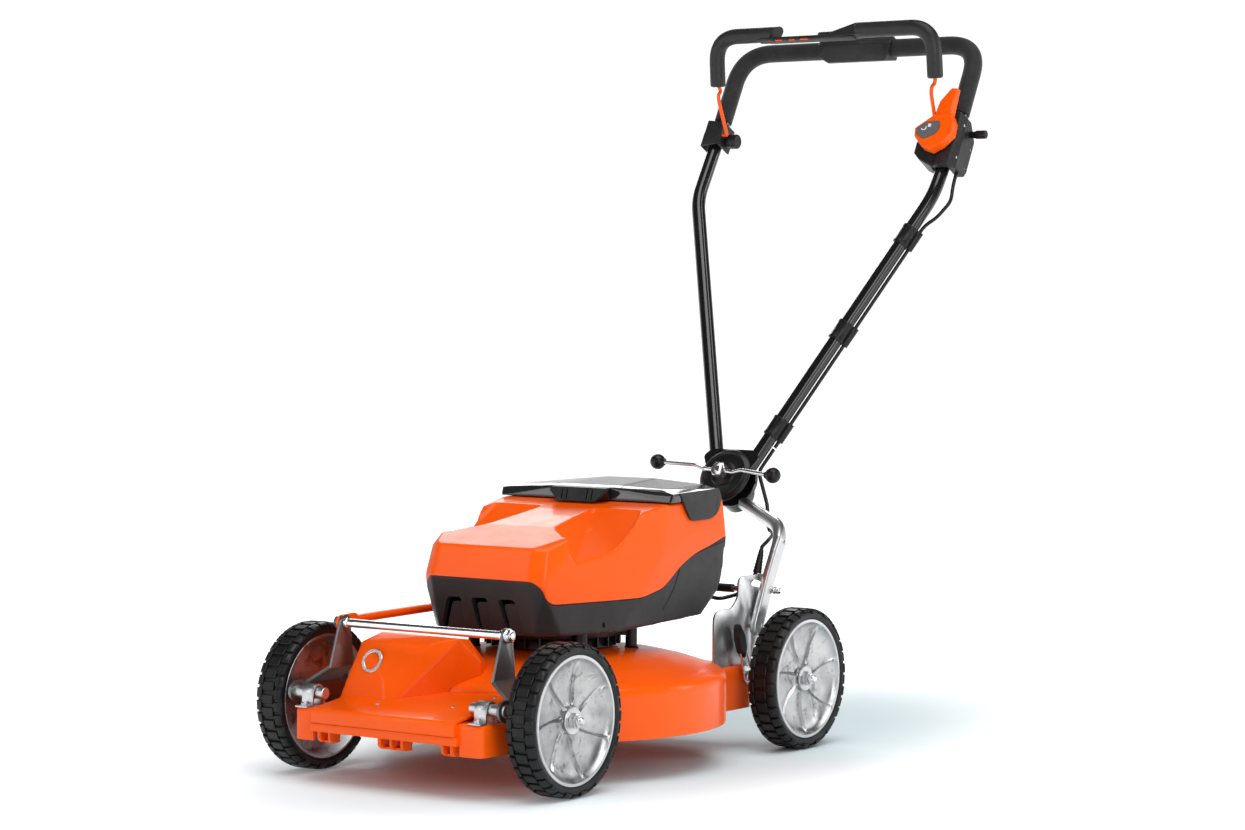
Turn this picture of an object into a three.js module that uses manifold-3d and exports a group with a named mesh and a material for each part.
// Battery lawn mower for walking behind: round pressed deck, folding and swivelling handle.
// Millimetres, +Z up. -Y is the mower's front, +X its left side and Z = 0 the ground.
// Every length is measured from the front wheels' axle line (Y = 0) on the middle plane
// (X = 0). The whole model is then shifted, so its origin is the middle of its footprint.

import * as THREE from "three";
import { ConvexGeometry } from "three/addons/geometries/ConvexGeometry.js";
import { mergeVertices } from "three/addons/utils/BufferGeometryUtils.js";
import Module from "manifold-3d";

// ---------------------------------------------------------------- driving dimensions

const FOOTPRINT_CENTRE = { x: 16.5, y: 513 };
const GAP = 0.3;                     // between touching pieces

const WHEEL_RADIUS = 105;
const TRACK = 438;                   // between the wheels' middle planes
const WHEELBASE = 591;
const RIM_RADIUS = 89;
const SPINDLE_RADIUS = 7.7;
const SPINDLE_END = 251;             // distance of a spindle's tip from the middle plane
const ARM_OUTER = 184;               // outer face of the swing arms that hold the wheels

const FRONT_PIVOT = { y: -85, z: 122 };
const FRONT_BAR = { y: -28.4, z: 215.2 };
const REAR_PIVOT = { y: 538, z: 108 };
const HEIGHT_RATIO = 85 / 53;        // front arm length over rear arm length

const DECK = { y: 270, radius: 253, wall: 4, bottom: 60, shoulder: 128, opening: 75 };
const SKIRT = { halfWidth: 164.5, front: -112, back: 90, top: 103, bottom: 60 };
const REAR_BOX = { halfWidth: 160, front: 440, back: 562, top: 124, bottom: 61 };
const SKIRT_WALL = 3.5;              // of the front skirt and the rear box
const COVER_HALF_WIDTH = 124;

const SHELL_WALL = 3;
const BODY_CENTRE = { y: 300, z: 290 };

const BLADE_RADIUS = 232;
const BLADE_BOTTOM = 78;

const LEAN = 62;                     // of the handle above the horizontal, in degrees
const HUB = { y: 725, z: 394 };      // middle of the handle's swivel
const GRIP = { x: 228, y: 1048, z: 947.3 };   // on a side of the grip loop, just below its end
const FOLD_UP = -14;                 // of the grip loop's folding axis, from GRIP along the handle
const TUBE_RADIUS = 11.3;
const GRIP_RADIUS = 15;
const CABLE_RADIUS = 3;

const FOLD_PIVOT = { y: 566, z: 182 };
const LOCK_RADIUS = 63;              // of the lock pins about the fold pivot
const LOCK_ANGLE = 52;               // of the lock pins above the horizontal, in degrees
const BRACKET_INNER = 151;
const BRACKET_OUTER = 154;
const LEG_INNER = 157;
const LEG_OUTER = 169;

// ---------------------------------------------------------------- materials

function material(colour, roughness, metalness) {
  return () => new THREE.MeshStandardMaterial({ color: colour, roughness, metalness });
}

const ORANGE_PAINT = material(0xff5a0a, 0.3, 0.0);
const ORANGE_PLASTIC = material(0xff5f0f, 0.35, 0.0);
const CHARCOAL_PLASTIC = material(0x3a3a3c, 0.55, 0.0);
const BLACK_PLASTIC = material(0x1c1c1e, 0.45, 0.0);
const SMOKED_PLASTIC = material(0x2b2d30, 0.15, 0.0);
const RUBBER = material(0x161616, 0.85, 0.0);
const FOAM = material(0x2a2a2a, 0.95, 0.0);
const CAST_ALUMINIUM = material(0xc4c6c8, 0.35, 0.9);
const CHROME = material(0xdcdfe2, 0.12, 1.0);
const STEEL = material(0x9a9da0, 0.35, 1.0);
const BLACK_PAINT = material(0x151515, 0.3, 0.3);
const CIRCUIT_BOARD = material(0x1f5c3a, 0.5, 0.0);

// ---------------------------------------------------------------- shape helpers

const wasm = await Module();
wasm.setup();

const mower = new THREE.Group();
mower.position.set(-FOOTPRINT_CENTRE.x, -FOOTPRINT_CENTRE.y, 0);

function add(name, geometry, makeMaterial) {
  const mesh = new THREE.Mesh(geometry, makeMaterial());
  mesh.name = name;
  mower.add(mesh);
}

// A closed mesh as a manifold solid: shared vertices merged, empty triangles dropped.
function toSolid(geometry) {
  const bare = geometry.clone();
  bare.deleteAttribute("normal");
  bare.deleteAttribute("uv");
  const merged = mergeVertices(bare, 1e-4);
  const corners = merged.index.array;
  const kept = [];
  for (let i = 0; i < corners.length; i += 3) {
    const [a, b, c] = corners.slice(i, i + 3);
    if (a !== b && b !== c && c !== a) kept.push(a, b, c);
  }
  const mesh = new wasm.Mesh({
    numProp: 3,
    vertProperties: merged.attributes.position.array,
    triVerts: new Uint32Array(kept),
  });
  return new wasm.Manifold(mesh);
}

// The mirror image across the middle plane, with its faces still pointing out.
function mirror(geometry) {
  const copy = geometry.index ? geometry.toNonIndexed() : geometry.clone();
  copy.scale(-1, 1, 1);
  const { array } = copy.attributes.position;
  for (let i = 0; i < array.length; i += 9) {
    const second = array.slice(i + 3, i + 6);
    array.copyWithin(i + 3, i + 6, i + 9);
    array.set(second, i + 6);
  }
  return copy;
}

function toGeometry(solid) {
  const mesh = solid.getMesh();
  const geometry = new THREE.BufferGeometry();
  geometry.setAttribute("position", new THREE.BufferAttribute(mesh.vertProperties, 3));
  geometry.setIndex(new THREE.BufferAttribute(mesh.triVerts, 1));
  return geometry;
}

function join(first, ...others) {
  return toGeometry(others.reduce((solid, other) => solid.add(toSolid(other)), toSolid(first)));
}

function cut(first, ...tools) {
  return toGeometry(tools.reduce((solid, tool) => solid.subtract(toSolid(tool)), toSolid(first)));
}

function common(first, second) {
  return toGeometry(toSolid(first).intersect(toSolid(second)));
}

function block([x0, x1], [y0, y1], [z0, z1]) {
  const geometry = new THREE.BoxGeometry(x1 - x0, y1 - y0, z1 - z0);
  return geometry.translate((x0 + x1) / 2, (y0 + y1) / 2, (z0 + z1) / 2);
}

// A round bar from one point to another.
function bar(from, to, radius, sides = 16) {
  const start = new THREE.Vector3(...from);
  const run = new THREE.Vector3(...to).sub(start);
  const geometry = new THREE.CylinderGeometry(radius, radius, run.length(), sides);
  const turn = new THREE.Quaternion().setFromUnitVectors(
    new THREE.Vector3(0, 1, 0), run.clone().normalize());
  const middle = start.addScaledVector(run, 0.5);
  return geometry.applyQuaternion(turn).translate(middle.x, middle.y, middle.z);
}

// A bar along X, from x0 to x1, at the given height and place.
function barX([x0, x1], { y, z }, radius, sides = 16) {
  return bar([x0, y, z], [x1, y, z], radius, sides);
}

// A turned solid or ring, from [radius, height] points in either order.
function turned(profile, segments) {
  const points = profile.map(([radius, height]) => new THREE.Vector2(radius, height));
  if (THREE.ShapeUtils.area(points) < 0) points.reverse();
  return new THREE.LatheGeometry(points, segments);
}

// A ring turned about X. The profile is a closed list of [radius, x].
function ringX(profile, segments) {
  return turned([...profile, profile[0]], segments).rotateZ(-Math.PI / 2);
}

// A solid or ring turned about Z through the deck's middle, from [radius, z] points.
function turnedOnDeck(profile, segments) {
  return turned(profile, segments).rotateX(Math.PI / 2).translate(0, DECK.y, 0);
}

function hull(points) {
  return new ConvexGeometry(points.map(([x, y, z]) => new THREE.Vector3(x, y, z)));
}

function mirrored(points) {
  return [...points, ...points.map(([x, y, z]) => [-x, y, z])];
}

// Points on a circle about an X axis, for building hulls.
function circleX(x, y, z, radius, count = 12) {
  return Array.from({ length: count }, (_, i) => {
    const turn = (2 * Math.PI * i) / count;
    return [x, y + radius * Math.cos(turn), z + radius * Math.sin(turn)];
  });
}

// A flat link between x0 and x1 with round ends, each given as [y, z, radius].
function linkPlate([x0, x1], ends) {
  return hull(ends.flatMap(([y, z, radius]) => [
    ...circleX(x0, y, z, radius), ...circleX(x1, y, z, radius)]));
}

// A closed outline whose corners are given as [u, v, rounding].
function roundedShape(corners) {
  const shape = new THREE.Shape();
  corners.forEach(([u, v, rounding = 0], index) => {
    const here = new THREE.Vector2(u, v);
    const before = new THREE.Vector2(...corners.at(index - 1));
    const after = new THREE.Vector2(...corners[(index + 1) % corners.length]);
    const start = before.sub(here).setLength(rounding).add(here);
    const end = after.sub(here).setLength(rounding).add(here);
    if (index === 0) shape.moveTo(start.x, start.y);
    else shape.lineTo(start.x, start.y);
    if (rounding > 0) shape.quadraticCurveTo(u, v, end.x, end.y);
  });
  return shape;
}

// A side-view outline of [y, z, rounding] corners, made thick between x0 and x1.
function plateX([x0, x1], corners) {
  const options = { depth: x1 - x0, bevelEnabled: false, curveSegments: 4 };
  const geometry = new THREE.ExtrudeGeometry(roundedShape(corners), options);
  const sideView = new THREE.Matrix4().makeBasis(
    new THREE.Vector3(0, 1, 0), new THREE.Vector3(0, 0, 1), new THREE.Vector3(1, 0, 0));
  return geometry.applyMatrix4(sideView).translate(x0, 0, 0);
}

// Straight runs joined by round bends. Each corner may have its own bend length.
class BentPath extends THREE.Curve {
  constructor(corners, bend) {
    super();
    this.arcLengthDivisions = 600;
    this.pieces = [];
    const points = corners.map((corner) => new THREE.Vector3(...corner));
    let start = points[0];
    for (let i = 1; i < points.length - 1; i += 1) {
      const here = points[i];
      const entry = points[i - 1].clone().sub(here).setLength(bend).add(here);
      const exit = points[i + 1].clone().sub(here).setLength(bend).add(here);
      this.pieces.push(new THREE.LineCurve3(start, entry));
      this.pieces.push(new THREE.QuadraticBezierCurve3(entry, here, exit));
      start = exit;
    }
    this.pieces.push(new THREE.LineCurve3(start, points.at(-1)));
  }

  getPoint(t, target = new THREE.Vector3()) {
    const place = t * this.pieces.length;
    const index = Math.min(Math.floor(place), this.pieces.length - 1);
    return this.pieces[index].getPoint(place - index, target);
  }
}

function tube(path, radius, steps, sides) {
  const section = new THREE.Shape();
  section.absarc(0, 0, radius, 0, 2 * Math.PI);
  return new THREE.ExtrudeGeometry(section, {
    extrudePath: path, steps, curveSegments: sides / 2,
  });
}

function bentTube(corners, bend, radius, steps, sides = 10) {
  return tube(new BentPath(corners, bend), radius, steps, sides);
}

// Places a geometry that is drawn around a point of the leaning handle.
// Before placing: X is across, Y is back from the handle's plane and Z is up along it.
function onHandle(geometry, { y, z }) {
  return geometry.rotateX((LEAN - 90) * THREE.MathUtils.DEG2RAD).translate(0, y, z);
}

function handlePoint([x, back, up], { y, z }) {
  const lean = LEAN * THREE.MathUtils.DEG2RAD;
  return [
    x,
    y + back * Math.sin(lean) + up * Math.cos(lean),
    z - back * Math.cos(lean) + up * Math.sin(lean),
  ];
}

// ---------------------------------------------------------------- wheels

const TYRE_PROFILE = [
  [RIM_RADIUS + GAP, -20], [100, -24], [WHEEL_RADIUS, -17],
  [WHEEL_RADIUS, 17], [100, 24], [RIM_RADIUS + GAP, 20],
];
const RIM_PROFILE = [
  [8.4, 12], [19, 12], [23, 7], [78, 12], [84, 20], [RIM_RADIUS, 20],
  [RIM_RADIUS, -20], [85, -20], [77, 6], [19, 0], [19, -16], [8.4, -16],
];
const WHEEL_SEGMENTS = 24;           // the same for both, so rim and tyre stay clear all round
const NUT = { start: 231.4, washerEnd: 234, end: 245, washerRadius: 19, radius: 11 };

function wheelNut(axleY) {
  const place = { y: axleY, z: WHEEL_RADIUS };
  const washer = barX([NUT.start, NUT.washerEnd], place, NUT.washerRadius, 16);
  const nut = barX([NUT.washerEnd - 1, NUT.end], place, NUT.radius, 6);
  const hole = barX([NUT.start - 2, NUT.end + 2], place, SPINDLE_RADIUS + 0.4, 12);
  return cut(join(washer, nut), hole);
}

for (const [sideName, side] of [["left", 1], ["right", -1]]) {
  for (const [endName, axleY] of [["front", 0], ["rear", WHEELBASE]]) {
    const facing = side === 1 ? 0 : Math.PI;
    const place = [(side * TRACK) / 2, axleY, WHEEL_RADIUS];
    const tyre = ringX(TYRE_PROFILE, WHEEL_SEGMENTS).rotateZ(facing).translate(...place);
    const rim = ringX(RIM_PROFILE, WHEEL_SEGMENTS).rotateZ(facing).translate(...place);
    add(`tyre_${endName}_${sideName}`, tyre, RUBBER);
    add(`rim_${endName}_${sideName}`, rim, CAST_ALUMINIUM);
    const nut = wheelNut(0).rotateZ(facing).translate(0, axleY, 0);
    add(`wheel_nut_${endName}_${sideName}`, nut, CHROME);
  }
}

// ---------------------------------------------------------------- deck

const DOME_OUTER = [
  [DECK.radius, DECK.bottom], [DECK.radius, DECK.shoulder - 3],
  [DECK.radius - 5, DECK.shoulder + 4], [200, 149], [130, 162], [DECK.opening, 168],
];
const DOME_INNER = [
  [DECK.opening, 164], [130, 158], [200, 145], [DECK.radius - 8, DECK.shoulder + 1],
  [DECK.radius - DECK.wall, DECK.shoulder - 4], [DECK.radius - DECK.wall, DECK.bottom],
];
const DECK_SEGMENTS = 32;

// The dome with its inside filled, moved out by a margin: it trims what sits on the dome.
function domeEnvelope(margin) {
  const raised = DOME_OUTER.slice(1).map(([radius, z]) => [radius + margin, z + margin]);
  const profile = [[0, 0], [DECK.radius + margin, 0], ...raised, [0, 168 + margin]];
  return turnedOnDeck(profile, DECK_SEGMENTS);
}

// The space under the dome, where the blade turns.
function chamberSpace() {
  const side = DECK.radius - DECK.wall;
  const ceiling = DOME_INNER.slice(0, -1).reverse();
  return turnedOnDeck([[0, 0], [side, 0], ...ceiling, [0, 164]], DECK_SEGMENTS);
}

// The front skirt is open below, and its front wall has a wide mouth for the grass.
function frontSkirt() {
  const { halfWidth, front, back, top, bottom } = SKIRT;
  const inner = halfWidth - SKIRT_WALL;
  const mouth = { halfWidth: 128, top: 78 };
  return cut(
    block([-halfWidth, halfWidth], [front, back], [bottom, top]),
    block([-inner, inner], [front + SKIRT_WALL, back + 1], [0, top - SKIRT_WALL]),
    block([-mouth.halfWidth, mouth.halfWidth], [front - 1, front + SKIRT_WALL + 1], [0, mouth.top]),
  );
}

function rearBox() {
  const { halfWidth, front, back, top, bottom } = REAR_BOX;
  const inner = halfWidth - SKIRT_WALL;
  return cut(
    block([-halfWidth, halfWidth], [front, back], [bottom, top]),
    block([-inner, inner], [0, back - SKIRT_WALL], [0, top - SKIRT_WALL]),
  );
}

function deckShell() {
  const dome = turnedOnDeck([...DOME_OUTER, ...DOME_INNER, DOME_OUTER[0]], DECK_SEGMENTS);
  const webs = [-121, 0, 113].map(
    (x) => block([x - 3, x + 3], [SKIRT.front + 0.5, SKIRT.front + 30], [64, 80]));
  const boxes = cut(join(frontSkirt(), ...webs, rearBox()), chamberSpace());
  const axleHoles = barX([-200, 200], REAR_PIVOT, SPINDLE_RADIUS + 0.8);
  return cut(join(dome, boxes), axleHoles);
}
add("deck_shell", deckShell(), ORANGE_PAINT);

// ---------------------------------------------------------------- front cover

// The raised scoop stands on the mower's right half and is drawn as one faceted block.
const SCOOP = [
  [-137, -53, 106], [-48, -54, 106], [-130, -35, 142], [-66, -35, 143],
  [-124, -12, 190], [-31, 4, 193], [-114, 20, 201], [-26, 20, 200], [22, 27, 199],
  [-137, 70, 106], [8, 18, 106], [30, 60, 106], [32, 62, 165],
  [20, 92, 158], [-120, 92, 155], [-108, 62, 196], [14, 60, 195],
];

function frontCover() {
  const lipFront = -121;
  const plateBack = 70;
  const halfWidth = COVER_HALF_WIDTH;
  const plate = plateX([-halfWidth, halfWidth], [
    [lipFront, 79, 0], [lipFront, 106, 4], [plateBack, 132, 0], [plateBack, 128.5, 0],
    [SKIRT.front - GAP, SKIRT.top + GAP, 0], [SKIRT.front - GAP, 79, 0],
  ]);
  const middle = [-50, 25, 140];
  const inside = SCOOP.map((corner) => corner.map((value, axis) => {
    const inward = Math.sign(middle[axis] - value) * SHELL_WALL;
    const floor = axis === 2 && value < 110 ? -12 : 0;
    return floor === 0 ? value + inward : value + floor;
  }));
  return cut(join(plate, hull(SCOOP)), hull(inside), domeEnvelope(0.4));
}
add("front_cover", frontCover(), ORANGE_PAINT);

// ---------------------------------------------------------------- front height mechanism

function frontStrap() {
  const { y, z } = FRONT_PIVOT;
  const base = SKIRT.top + GAP;
  const saddle = cut(
    linkPlate([140, 162], [[y, z, 12.5], [y, base, 12.5]]),
    linkPlate([138, 164], [[y, z, 9.3], [y, 60, 9.3]]),
    block([130, 170], [y - 40, y + 40], [0, base]),
  );
  const flanges = [[y - 26, y - 9.5], [y + 9.5, y + 24]].map(
    (span) => block([140, 162], span, [base, base + 3]));
  return join(saddle, ...flanges);
}

function frontArm() {
  const knee = 156;
  const upper = cut(
    hull([
      ...circleX(140.5, FRONT_BAR.y, FRONT_BAR.z, 11), ...circleX(144.5, FRONT_BAR.y, FRONT_BAR.z, 11),
      [140.5, -60, knee - 2], [144.5, -60, knee - 2], [140.5, -10, knee - 2], [144.5, -10, knee - 2],
    ]),
    barX([130, 160], FRONT_BAR, 6.4),
  );
  const slanted = hull([
    [140.5, -60, knee - 2], [144.5, -60, knee + 1], [140.5, -10, knee - 2], [144.5, -10, knee + 1],
    [180, -72, 129], [ARM_OUTER, -72, 131], [180, 6, 129], [ARM_OUTER, 6, 131],
  ]);
  const lower = linkPlate([180, ARM_OUTER], [
    [FRONT_PIVOT.y, FRONT_PIVOT.z, 15], [0, WHEEL_RADIUS, 16], [-68, 120, 12], [2, 119, 12]]);
  const sleeve = barX([128, ARM_OUTER + 2], FRONT_PIVOT, 8.5);
  const spindle = barX([ARM_OUTER - 2, SPINDLE_END], { y: 0, z: WHEEL_RADIUS }, SPINDLE_RADIUS, 12);
  return join(upper, slanted, lower, sleeve, spindle);
}

// The cross bar is bolted through both arms. On the right the link rod's eye is on it too.
function frontBar() {
  const shaft = barX([-157, 153], FRONT_BAR, 6, 12);
  const shoulders = [barX([-140.2, -134], FRONT_BAR, 8), barX([134, 140.2], FRONT_BAR, 8)];
  const nuts = [barX([-156, -149.5], FRONT_BAR, 10, 6), barX([144.8, 151], FRONT_BAR, 10, 6)];
  return join(shaft, ...shoulders, ...nuts);
}

add("front_axle_strap_left", frontStrap(), STEEL);
add("front_axle_strap_right", mirror(frontStrap()), STEEL);
add("front_swing_arm_left", frontArm(), CHROME);
add("front_swing_arm_right", mirror(frontArm()), CHROME);
add("front_cross_bar", frontBar(), CHROME);

// ---------------------------------------------------------------- rear height mechanism

const REAR_PIN = {
  y: REAR_PIVOT.y + (FRONT_BAR.y - FRONT_PIVOT.y) / HEIGHT_RATIO,
  z: REAR_PIVOT.z + (FRONT_BAR.z - FRONT_PIVOT.z) / HEIGHT_RATIO,
};
const CRANK = { outer: -184, inner: -180.2, pinEnd: -171 };
const LEVER_TIP = { y: REAR_PIVOT.y - 27, z: REAR_PIVOT.z + 68 };

function rearAxle() {
  const pivotTube = barX([-ARM_OUTER - 2, ARM_OUTER + 2], REAR_PIVOT, 7.8);
  const pieces = [pivotTube];
  for (const side of [1, -1]) {
    const faces = side === 1 ? [180, ARM_OUTER] : [-ARM_OUTER, -180];
    const reach = side === 1 ? [ARM_OUTER - 2, SPINDLE_END] : [-SPINDLE_END, 2 - ARM_OUTER];
    pieces.push(linkPlate(faces, [
      [REAR_PIVOT.y, REAR_PIVOT.z, 14], [WHEELBASE, WHEEL_RADIUS, 14]]));
    pieces.push(barX(reach, { y: WHEELBASE, z: WHEEL_RADIUS }, SPINDLE_RADIUS, 12));
  }
  pieces.push(linkPlate([CRANK.outer, CRANK.inner], [
    [REAR_PIVOT.y, REAR_PIVOT.z, 14], [REAR_PIN.y, REAR_PIN.z, 9]]));
  pieces.push(barX([CRANK.inner - 1, CRANK.pinEnd], REAR_PIN, 4.5, 12));
  pieces.push(linkPlate([164, 168], [
    [REAR_PIVOT.y, REAR_PIVOT.z, 12], [LEVER_TIP.y, LEVER_TIP.z, 5]]));
  return join(...pieces);
}
add("rear_axle", rearAxle(), CHROME);

function leverGrip() {
  const low = { y: REAR_PIVOT.y - 12, z: REAR_PIVOT.z + 28 };
  const tip = { y: LEVER_TIP.y - 3, z: LEVER_TIP.z + 7 };
  const grip = hull([
    ...circleX(158, tip.y, tip.z, 5, 8), ...circleX(174, tip.y, tip.z, 5, 8),
    ...circleX(159, low.y, low.z, 5, 8), ...circleX(173, low.y, low.z, 5, 8),
  ]);
  const socket = linkPlate([164 - GAP, 168 + GAP], [
    [REAR_PIVOT.y, REAR_PIVOT.z, 12 + GAP], [LEVER_TIP.y, LEVER_TIP.z, 5 + GAP]]);
  return cut(grip, socket);
}
add("height_lever_grip", leverGrip(), BLACK_PLASTIC);

// The rod runs beside the body, higher than the line between its two eyes.
function linkRod() {
  const front = linkPlate([-149, -145], [
    [FRONT_BAR.y, FRONT_BAR.z, 11], [FRONT_BAR.y + 26, 219, 8]]);
  const back = linkPlate([-179.4, -172.5], [
    [REAR_PIN.y, REAR_PIN.z, 10], [REAR_PIN.y - 24, REAR_PIN.z + 3, 6]]);
  const rod = bentTube([
    [-149, FRONT_BAR.y + 20, 217], [-158, 60, 217], [-172, 350, 219],
    [-175.4, 480, 175], [-175.7, REAR_PIN.y - 18, REAR_PIN.z + 2]], 30, 6.2, 16, 8);
  return cut(
    join(front, back, rod),
    barX([-160, -140], FRONT_BAR, 6.6),
    barX([-190, -170], REAR_PIN, 6.8),
  );
}
add("height_link_rod", linkRod(), ORANGE_PAINT);

// ---------------------------------------------------------------- body shells

// Corners of the body's left half. Moving each one inward gives the hollow inside.
const BODY_CORNERS = [
  [84, 112, 198], [112, 140, 198], [140, 240, 197], [142, 446, 206], [142, 490, 239],
  [146, 496, 262], [152, 499, 324], [150, 490, 378], [150, 345, 374],
  [88, 96, 276], [108, 108, 276], [86, 109, 320], [104, 120, 318], [106, 108, 262],
  [152, 330, 300], [153, 420, 330], [128, 190, 345],
];

function bodyForm(inward) {
  return hull(mirrored(BODY_CORNERS.map(([x, y, z]) => [
    x - inward,
    y + Math.sign(BODY_CENTRE.y - y) * inward,
    z + Math.sign(BODY_CENTRE.z - z) * inward,
  ])));
}

// Side view of the joint between the charcoal housing and the orange cover.
const SEAM = [
  [97, 276], [104, 268], [115, 243], [290, 243], [340, 253], [380, 283],
  [420, 300], [460, 309], [500, 321],
];

function besideSeam(direction, offset) {
  const edge = [[60, 276], ...SEAM, [540, 331]].map(([y, z]) => [y, z + offset, 0]);
  const far = direction > 0 ? 500 : 100;
  const outline = [...edge, [540, far, 0], [60, far, 0]];
  return plateX([-200, 200], direction > 0 ? outline : outline.reverse());
}

const bodyShell = cut(bodyForm(0), bodyForm(SHELL_WALL));

function topCover() {
  const orangeShell = common(bodyShell, besideSeam(1, GAP / 2));
  const batteryBay = block([-128, 128], [352, 480], [350, 420]);
  const sideScoop = hull([
    [92, 150, 400], [118, 240, 400], [170, 190, 400], [170, 360, 400],
    [106, 245, 345], [104, 180, 331], [160, 330, 352], [160, 160, 322], [126, 176, 300], [150, 262, 318],
  ]);
  const otherScoop = mirror(sideScoop);
  const scoopLining = (scoop) => common(scoopWall(scoop), bodyForm(0));
  return join(
    cut(orangeShell, batteryBay, sideScoop, otherScoop),
    scoopLining(sideScoop),
    scoopLining(otherScoop),
  );
}

// A wall around a cutter, so a pocket pressed into a shell has a floor.
function scoopWall(scoop) {
  scoop.computeBoundingBox();
  const middle = scoop.boundingBox.getCenter(new THREE.Vector3());
  const size = scoop.boundingBox.getSize(new THREE.Vector3());
  const grow = (axis) => 1 + (2 * SHELL_WALL) / size[axis];
  const outer = scoop.clone()
    .translate(-middle.x, -middle.y, -middle.z)
    .scale(grow("x"), grow("y"), grow("z"))
    .translate(middle.x, middle.y, middle.z);
  return cut(outer, scoop);
}
add("top_cover", topCover(), ORANGE_PLASTIC);

function lowerHousing() {
  const shell = common(bodyShell, besideSeam(-1, -GAP / 2));
  const motorHole = turnedOnDeck([[0, 150], [70, 150], [70, 230], [0, 230]], 32);
  return cut(shell, motorHole);
}
add("lower_housing", lowerHousing(), CHARCOAL_PLASTIC);

// ---------------------------------------------------------------- motor, blade, electrics

function motorMount() {
  const ring = turnedOnDeck([
    [20, 169], [92, 169], [92, 182], [100, 186], [100, 215], [76, 215],
    [76, 176], [20, 176], [20, 169]], 24);
  const posts = [[96, -62], [96, 62], [-96, -62], [-96, 62]].flatMap(([x, y]) => [
    bar([x, DECK.y + y, 120], [x, DECK.y + y, 215], 11, 8),
    hull([
      [x * 0.6, DECK.y + y * 0.6 - 8, 182], [x * 0.6, DECK.y + y * 0.6 + 8, 182],
      [x, DECK.y + y - 8, 182], [x, DECK.y + y + 8, 182],
      [x * 0.6, DECK.y + y * 0.6 - 8, 194], [x * 0.6, DECK.y + y * 0.6 + 8, 194],
      [x, DECK.y + y - 8, 194], [x, DECK.y + y + 8, 194],
    ]),
  ]);
  return cut(join(ring, ...posts), domeEnvelope(0.4), bodyForm(-0.4));
}
add("motor_mount", motorMount(), BLACK_PLASTIC);

add("motor", turnedOnDeck([
  [11, 176.5], [62, 176.5], [62, 244], [52, 250], [11, 250], [11, 176.5]], 28), STEEL);
add("blade_spindle", turnedOnDeck([
  [0, BLADE_BOTTOM + 4.3], [30, BLADE_BOTTOM + 4.3], [30, BLADE_BOTTOM + 9],
  [18, BLADE_BOTTOM + 12], [18, BLADE_BOTTOM + 22], [10, BLADE_BOTTOM + 22],
  [10, 246], [0, 246]], 24), STEEL);

function blade() {
  const flat = block([-BLADE_RADIUS + 30, BLADE_RADIUS - 30],
    [DECK.y - 26, DECK.y + 26], [BLADE_BOTTOM, BLADE_BOTTOM + 4]);
  const wings = [1, -1].map((side) => hull([
    [side * (BLADE_RADIUS - 60), DECK.y + side * 26, BLADE_BOTTOM],
    [side * (BLADE_RADIUS - 60), DECK.y - side * 26, BLADE_BOTTOM],
    [side * BLADE_RADIUS, DECK.y + side * 18, BLADE_BOTTOM + 14],
    [side * BLADE_RADIUS, DECK.y - side * 22, BLADE_BOTTOM],
    [side * (BLADE_RADIUS - 60), DECK.y + side * 26, BLADE_BOTTOM + 4],
    [side * (BLADE_RADIUS - 60), DECK.y - side * 26, BLADE_BOTTOM + 4],
    [side * BLADE_RADIUS, DECK.y - side * 22, BLADE_BOTTOM + 4],
  ]));
  return join(flat, ...wings);
}
add("blade", blade(), STEEL);
add("blade_bolt", bar([0, DECK.y, BLADE_BOTTOM - 11], [0, DECK.y, BLADE_BOTTOM - GAP], 12, 6), STEEL);

for (const [sideName, side] of [["left", 1], ["right", -1]]) {
  const across = side === 1 ? [6, 100] : [-100, -6];
  add(`battery_${sideName}`, block(across, [362, 470], [262, 366]), BLACK_PLASTIC);
}
add("controller_board", block([-60, 60], [150, 320], [262, 268]), CIRCUIT_BOARD);

// ---------------------------------------------------------------- battery lid and latch

function batteryLid() {
  const top = hull(mirrored([
    [154, 347, 375.2], [155, 352, 388], [130, 365, 394], [48, 349, 394], [48, 349, 375.2],
    [154, 480, 379.5], [154, 470, 391], [120, 484, 396], [40, 468, 403], [48, 360, 397], [60, 494, 380],
  ]));
  const hollow = hull(mirrored([
    [149, 351, 370], [149, 474, 374], [149, 352, 384], [149, 466, 385], [120, 366, 389], [120, 476, 390],
  ]));
  const wing = hull([
    [152.6, 372, 386], [156, 372, 386], [152.6, 398, 347], [156, 398, 347],
    [152.6, 452, 348], [156, 452, 348], [152.6, 470, 357], [156, 470, 357],
    [152.6, 477, 378], [156, 477, 378], [152.6, 470, 390], [156, 470, 390],
  ]);
  const otherWing = mirror(wing);
  return cut(join(cut(top, hollow), wing, otherWing), bodyForm(-0.4));
}
add("battery_lid", batteryLid(), SMOKED_PLASTIC);

add("lid_latch", cut(hull(mirrored([
  [34, 325, 374], [50, 331, 394], [52, 331, 388], [47, 346.6, 395], [47, 346.6, 377], [34, 343, 374],
])), bodyForm(-0.4)), BLACK_PLASTIC);

// ---------------------------------------------------------------- handle brackets

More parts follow.
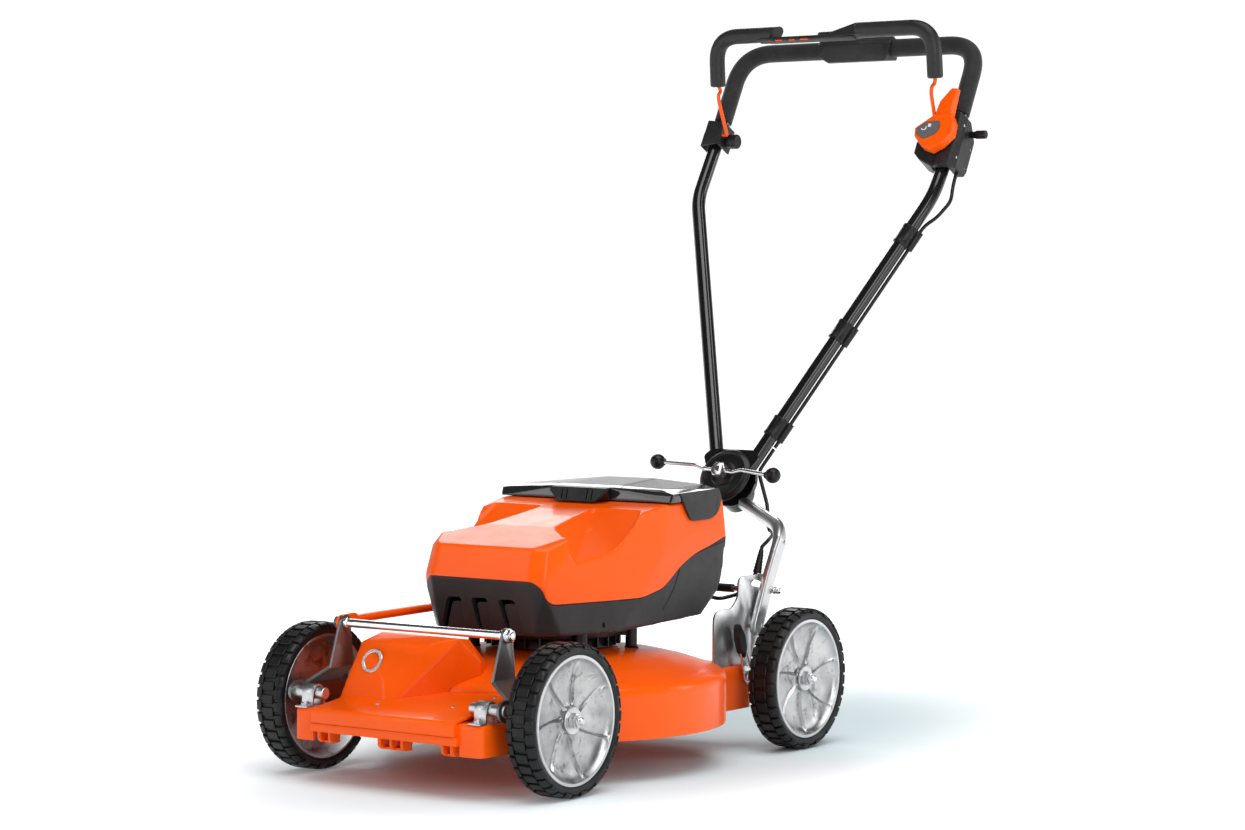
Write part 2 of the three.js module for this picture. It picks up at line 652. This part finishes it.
function handleBracket() {
  const plate = plateX([BRACKET_INNER, BRACKET_OUTER], [
    [462, REAR_BOX.top + GAP, 0], [462, 211, 18], [510, 211, 6], [528, 226, 10], [528, 257, 14],
    [612, 257, 14], [622, 232, 10], [560, REAR_BOX.top + GAP, 0],
  ]);
  const flange = block([118, BRACKET_INNER + 1], [466, 556], [REAR_BOX.top + GAP, REAR_BOX.top + 3.3]);
  const slotEnds = [LOCK_ANGLE - 9, LOCK_ANGLE + 36].map((angle) => angle * THREE.MathUtils.DEG2RAD);
  const slotSteps = 6;
  const slot = [];
  for (let i = 0; i < slotSteps; i += 1) {
    const ends = [i, i + 1].map((step) => {
      const angle = slotEnds[0] + ((slotEnds[1] - slotEnds[0]) * step) / slotSteps;
      const y = FOLD_PIVOT.y + LOCK_RADIUS * Math.cos(angle);
      const z = FOLD_PIVOT.z + LOCK_RADIUS * Math.sin(angle);
      return [y, z, 5];
    });
    slot.push(linkPlate([BRACKET_INNER - 5, BRACKET_OUTER + 5], ends));
  }
  return cut(join(plate, flange), ...slot, barX([140, 160], FOLD_PIVOT, 5.6), domeEnvelope(0.4));
}
add("handle_bracket_left", handleBracket(), CHROME);
add("handle_bracket_right", mirror(handleBracket()), CHROME);

// The bar between the brackets wears a sleeve over its middle.
function tieBar() {
  const place = { y: 545, z: 237.5 };
  return join(
    barX([GAP - BRACKET_INNER, BRACKET_INNER - GAP], place, 4.2, 12),
    barX([-134, 134], place, 6.3, 12),
  );
}
add("bracket_tie_bar", tieBar(), STEEL);

// ---------------------------------------------------------------- lower arch and lock pins

const LOCK_PIN = {
  y: FOLD_PIVOT.y + LOCK_RADIUS * Math.cos(LOCK_ANGLE * THREE.MathUtils.DEG2RAD),
  z: FOLD_PIVOT.z + LOCK_RADIUS * Math.sin(LOCK_ANGLE * THREE.MathUtils.DEG2RAD),
};
const LEG_TOP = { y: 618, z: 296 };
const PLATE_BACK = 34;               // depth of the swivel plate's back behind the hub's middle
const BOSS_UP = -12;                 // of the boss that joins both arch tubes below the plate

// The tube is flattened into a leg below and bends inward to the swivel plate above.
function archSide() {
  const legX = (LEG_INNER + LEG_OUTER) / 2;
  const leg = cut(
    linkPlate([LEG_INNER, LEG_OUTER], [
      [FOLD_PIVOT.y, FOLD_PIVOT.z, 13], [LEG_TOP.y, LEG_TOP.z, 11]]),
    barX([LEG_INNER - 2, LEG_OUTER + 2], LOCK_PIN, 4.6, 12),
  );
  const upper = bentTube([
    [legX, LEG_TOP.y - 12, LEG_TOP.z - 26], [legX, LEG_TOP.y + 22, LEG_TOP.z + 25],
    handlePoint([20, PLATE_BACK + 5, -28], HUB)], 44, 10.5, 11, 10);
  const pivot = barX([BRACKET_INNER - 4, LEG_OUTER], FOLD_PIVOT, 5, 12);
  return join(leg, upper, pivot);
}

function lowerArch() {
  const side = archSide();
  const other = mirror(side);
  const plate = onHandle(bar([0, 27.5, 0], [0, PLATE_BACK, 0], 40, 24), HUB);
  const boss = onHandle(
    bar([0, PLATE_BACK - 1, BOSS_UP], [0, PLATE_BACK + 20, BOSS_UP], 28, 16), HUB);
  const screwHole = onHandle(bar([0, 0, 0], [0, 80, 0], 6, 12), HUB);
  return cut(join(side, other, plate, boss), screwHole);
}
add("lower_arch", lowerArch(), CHROME);

function lockPin() {
  const shaft = barX([148, LEG_OUTER + 5], LOCK_PIN, 4, 12);
  const knob = new THREE.SphereGeometry(5.4, 12, 8).translate(LEG_OUTER + 6, LOCK_PIN.y, LOCK_PIN.z);
  const collar = barX([LEG_OUTER + GAP, LEG_OUTER + 2], LOCK_PIN, 6.4, 12);
  return join(shaft, knob, collar);
}
add("lock_pin_left", lockPin(), CHROME);
add("lock_pin_right", mirror(lockPin()), CHROME);

// ---------------------------------------------------------------- swivel hub and clamp screw

// The disc has a yoke plate behind it, which the ends of both handle tubes lie on.
function hubDisc() {
  const dome = turned([[0, -1], [45, -1], [45, 3], [38, 8], [20, 11], [0, 11]], 28).rotateX(Math.PI);
  const boss = bar([0, 0, 0], [0, 27, 0], 16, 16);
  const yoke = hull([0.5, 3.6].flatMap((back) => [
    [-30, back, -6], [30, back, -6], [52, back, 34], [40, back, 46], [-40, back, 46], [-52, back, 34]]));
  const screwHole = bar([0, -30, 0], [0, 40, 0], 5.8, 12);
  return onHandle(cut(join(dome, boss, yoke), screwHole), HUB);
}
add("hub_disc", hubDisc(), BLACK_PLASTIC);

const BALL = { x: 109.5, forward: 33, down: 3.5, tilt: 7.6, radius: 12.3 };

// The handles of the T-bar are bent a little, and the bar is not quite level.
function tBarPoint(across, back, up) {
  return [across, back, up - (across * BALL.tilt) / BALL.x];
}

function clampScrew() {
  const screw = bar([0, -26, 0], [0, 60, 0], 5, 12);
  const nut = bar([0, -26, 0], [0, -11.5, 0], 13, 6);
  const arms = [1, -1].map((side) => bentTube([
    [0, -20, 0], tBarPoint(side * 26, -20, -1.5), tBarPoint(side * 44, -25, 2),
    tBarPoint(side * (BALL.x - BALL.radius - GAP), -BALL.forward, -BALL.down)], 6, 3.3, 9, 6));
  return onHandle(join(screw, nut, ...arms), HUB);
}
add("clamp_screw", clampScrew(), CHROME);
for (const [sideName, side] of [["left", 1], ["right", -1]]) {
  const ball = new THREE.SphereGeometry(BALL.radius, 12, 8);
  ball.translate(...tBarPoint(side * (BALL.x + GAP), -BALL.forward, -BALL.down));
  add(`clamp_ball_${sideName}`, onHandle(ball, HUB), BLACK_PLASTIC);
}

// ---------------------------------------------------------------- handle tubes

const TUBE_BOTTOM = handlePoint([29.3, -10, -620], GRIP);
const TUBE_BEND = handlePoint([224.5, -9, -131], GRIP);
const TUBE_TOP = handlePoint([GRIP.x, 0, FOLD_UP], GRIP);

function handleTube() {
  const run = bentTube([TUBE_BOTTOM, TUBE_BEND, TUBE_TOP], 24, TUBE_RADIUS, 9, 12);
  const axis = { y: TUBE_TOP[1], z: TUBE_TOP[2] };
  const eye = barX([GRIP.x - 11, GRIP.x + 11], axis, TUBE_RADIUS);
  const hole = barX([GRIP.x - 30, GRIP.x + 30], axis, 4.6, 12);
  return cut(join(run, eye), hole);
}
add("handle_tube_left", handleTube(), BLACK_PAINT);
add("handle_tube_right", mirror(handleTube()), BLACK_PAINT);

// ---------------------------------------------------------------- grip loop

const LOOP_TOP = 157.7;              // height of the loop's cross bar above the grip pivot
const LOOP_END = 23.4;

// The space that a tube's top needs in a clamp while the grip loop folds backward.
function foldChannel() {
  return block([GRIP.x - 15, GRIP.x + 15], [-19, 80], [-120, FOLD_UP + TUBE_RADIUS + 1]);
}

function boltHole() {
  return bar([150, 0, FOLD_UP], [300, 0, FOLD_UP], 4.6, 12);
}

add("grip_loop", onHandle(bentTube([
  [-GRIP.x, 0, LOOP_END], [-GRIP.x, 0, LOOP_TOP], [GRIP.x, 0, LOOP_TOP], [GRIP.x, 0, LOOP_END],
], 58, GRIP_RADIUS, 22, 10), GRIP), FOAM);

// The bail turns on short pins, which sit in holes of the control box and the right clamp.
const BAIL_PIVOT = { x: 201, back: -15, up: -10, pinRadius: 2.6, pinEnd: 212 };

function bailPinHole() {
  const { back, up, pinRadius, pinEnd } = BAIL_PIVOT;
  return bar([196, back, up], [pinEnd + 1, back, up], pinRadius + 0.4, 10);
}

const CABLE_INLET = { x: 250, top: -72 };

function leftSideBox() {
  const aroundTube = hull([
    [212, -20, -84], [224, -28, -84], [246, -28, -84], [257, -18, -84], [257, 14, -84],
    [207, 14, -84], [257, 18, -74], [207, 18, -74],
    [212, -22, 14], [222, -28, 14], [246, -28, 13], [257, -20, 4], [257, -6, 4],
    [246, -4, 14], [207, -4, 14], [257, 18, -19], [207, 18, -19],
  ]);
  const switchHousing = hull([-26, 14].flatMap((back) => [
    [178, back, -40], [178, back, -60], [190, back, -72], [214, back, -84], [214, back, -18],
    [196, back, -18],
  ]));
  const { x, top } = CABLE_INLET;
  return onHandle(cut(
    join(aroundTube, switchHousing), foldChannel(), boltHole(), bailPinHole(),
    bar([x, 0, -100], [x, 0, top], CABLE_RADIUS + 0.5, 10),
  ), GRIP);
}
add("control_box", leftSideBox(), CHARCOAL_PLASTIC);

function rightClamp() {
  const form = hull([
    [210, -20, -28], [244, -22, -33], [210, -20, 14], [244, -20, 18],
    [210, 18, -28], [244, 18, -33], [210, 16, 14], [244, 16, 18],
  ]);
  return mirror(onHandle(cut(form, foldChannel(), boltHole(), bailPinHole()), GRIP));
}
add("grip_clamp", rightClamp(), CHARCOAL_PLASTIC);

function starKnob() {
  const bolt = bar([207, 0, FOLD_UP], [264, 0, FOLD_UP], 4, 12);
  const neck = bar([257 + GAP, 0, FOLD_UP], [268, 0, FOLD_UP], 5.5, 10);
  const head = bar([267, 0, FOLD_UP], [286, 0, FOLD_UP], 7.5, 10);
  return onHandle(join(bolt, neck, head), GRIP);
}
add("star_knob", starKnob(), BLACK_PLASTIC);

function capKnob() {
  const bolt = bar([-188, 0, FOLD_UP], [-249, 0, FOLD_UP], 4, 12);
  const cap = bar([-186, 0, FOLD_UP], [-208.6, 0, FOLD_UP], 12.5, 16);
  return onHandle(join(bolt, cap), GRIP);
}
add("cap_knob", capKnob(), BLACK_PLASTIC);

function console() {
  const shell = hull([
    [-69, -17, LOOP_TOP - 18], [60, -17, LOOP_TOP - 18],
    [-62, -12, LOOP_TOP - 25], [52, -12, LOOP_TOP - 25],
    [-69, -24, LOOP_TOP], [60, -24, LOOP_TOP], [-66, -12, LOOP_TOP + 20], [58, -12, LOOP_TOP + 20],
    [-66, 17.6, LOOP_TOP + 20], [58, 17.6, LOOP_TOP + 20],
    [-66, 20, LOOP_TOP - 12], [58, 20, LOOP_TOP - 12],
  ]);
  return onHandle(cut(shell, bar([-100, 0, LOOP_TOP], [100, 0, LOOP_TOP], GRIP_RADIUS + 0.5, 24)), GRIP);
}
add("handle_console", console(), CHARCOAL_PLASTIC);

// ---------------------------------------------------------------- bail and start lever

function bail() {
  const grip = bentTube([
    [-207.8, -68, 52], [-206.8, -113.5, 121], [206.8, -113.5, 121], [207.8, -68, 52],
  ], 42, 12.9, 20, 8);
  const { x, back, up, pinRadius, pinEnd } = BAIL_PIVOT;
  const sides = [1, -1].flatMap((side) => [
    bentTube([
      [side * x, back, up], [side * 203, -60, 28], [side * 204, -66, 38], [side * 205, -61, 47],
      [side * 207.5, -70, 56]], 4, 3.2, 16, 6),
    bar([side * (x - 3), back, up], [side * pinEnd, back, up], pinRadius, 10),
  ]);
  return onHandle(join(grip, ...sides), GRIP);
}
add("bail", bail(), CHARCOAL_PLASTIC);

function startLever() {
  const slab = (outline) => hull([-48, -30].flatMap((back) => outline.map(([x, up]) => [x, back, up])));
  const paddle = slab([
    [185, -42], [182, -27], [200, -14], [212, -2], [242, -2], [249, -15], [251, -37], [236, -56],
    [219, -66], [202, -60],
  ]);
  const thumb = slab([[209, -5], [211, 24], [227, 52], [239, 49], [238, 13], [243, -5]]);
  return onHandle(join(paddle, thumb), GRIP);
}
add("start_lever", startLever(), ORANGE_PLASTIC);

// ---------------------------------------------------------------- cable and its clips

const tubeRun = new THREE.Vector3(...TUBE_BEND).sub(new THREE.Vector3(...TUBE_BOTTOM));
const tubeDirection = tubeRun.clone().normalize();
const handleFront = new THREE.Vector3(0, -Math.sin(LEAN * THREE.MathUtils.DEG2RAD),
  Math.cos(LEAN * THREE.MathUtils.DEG2RAD));
const tubeOutward = handleFront.clone().cross(tubeDirection).normalize().negate();
const cableOffset = tubeOutward.clone().multiplyScalar(0.85).addScaledVector(handleFront, -0.53)
  .multiplyScalar(TUBE_RADIUS + CABLE_RADIUS + 1);

function besideTube(share) {
  return new THREE.Vector3(...TUBE_BOTTOM).addScaledVector(tubeRun, share).add(cableOffset).toArray();
}

const CLIP_SHARES = [0.148, 0.499, 0.851];
const CLIP_LENGTH = 34;

CLIP_SHARES.forEach((share, index) => {
  const middle = new THREE.Vector3(...TUBE_BOTTOM).addScaledVector(tubeRun, share);
  const reach = (half) => [-half, half].map(
    (distance) => middle.clone().addScaledVector(tubeDirection, distance));
  const along = (half, radius, offset, sides) => {
    const [start, end] = reach(half).map((point) => point.add(offset).toArray());
    return bar(start, end, radius, sides);
  };
  const none = new THREE.Vector3();
  const clip = cut(
    join(
      along(CLIP_LENGTH / 2, TUBE_RADIUS + 2.2, none, 12),
      along(CLIP_LENGTH / 2, CABLE_RADIUS + 3.6, cableOffset, 8),
    ),
    along(CLIP_LENGTH, TUBE_RADIUS + 0.6, none, 12),
    along(CLIP_LENGTH, CABLE_RADIUS + 0.5, cableOffset, 8),
  );
  add(`cable_clip_${index + 1}`, clip, BLACK_PLASTIC);
});

const CABLE_ON_HANDLE = [
  handlePoint([CABLE_INLET.x, 0, CABLE_INLET.top - 1], GRIP), handlePoint([250, 0, -106], GRIP),
  handlePoint([254, 0, -136], GRIP), handlePoint([238, -2, -166], GRIP),
  besideTube(0.908), besideTube(0.499), besideTube(0.095),
];
add("cable_handle", bentTube(CABLE_ON_HANDLE, 10, CABLE_RADIUS, 22, 8), BLACK_PLASTIC);

const CABLE_TO_BOOT = [
  besideTube(0.09), besideTube(0.008), [72, 735, 350], [88, 712, 326], [125, 668, 310],
  [144, 625, 305], [147, 603, 297],
];
add("cable_lower", bentTube(CABLE_TO_BOOT, 9, CABLE_RADIUS, 18, 8), BLACK_PLASTIC);

const BOOT_TOP = 292.5;

add("cable_boot", hull([
  ...[[139, 584], [152, 584], [152, 600], [139, 600]].map(([x, y]) => [x, y, 257.6]),
  ...[[143, 596], [151, 596], [151, 607], [143, 607]].map(([x, y]) => [x, y, BOOT_TOP]),
]), BLACK_PLASTIC);

export default mower;
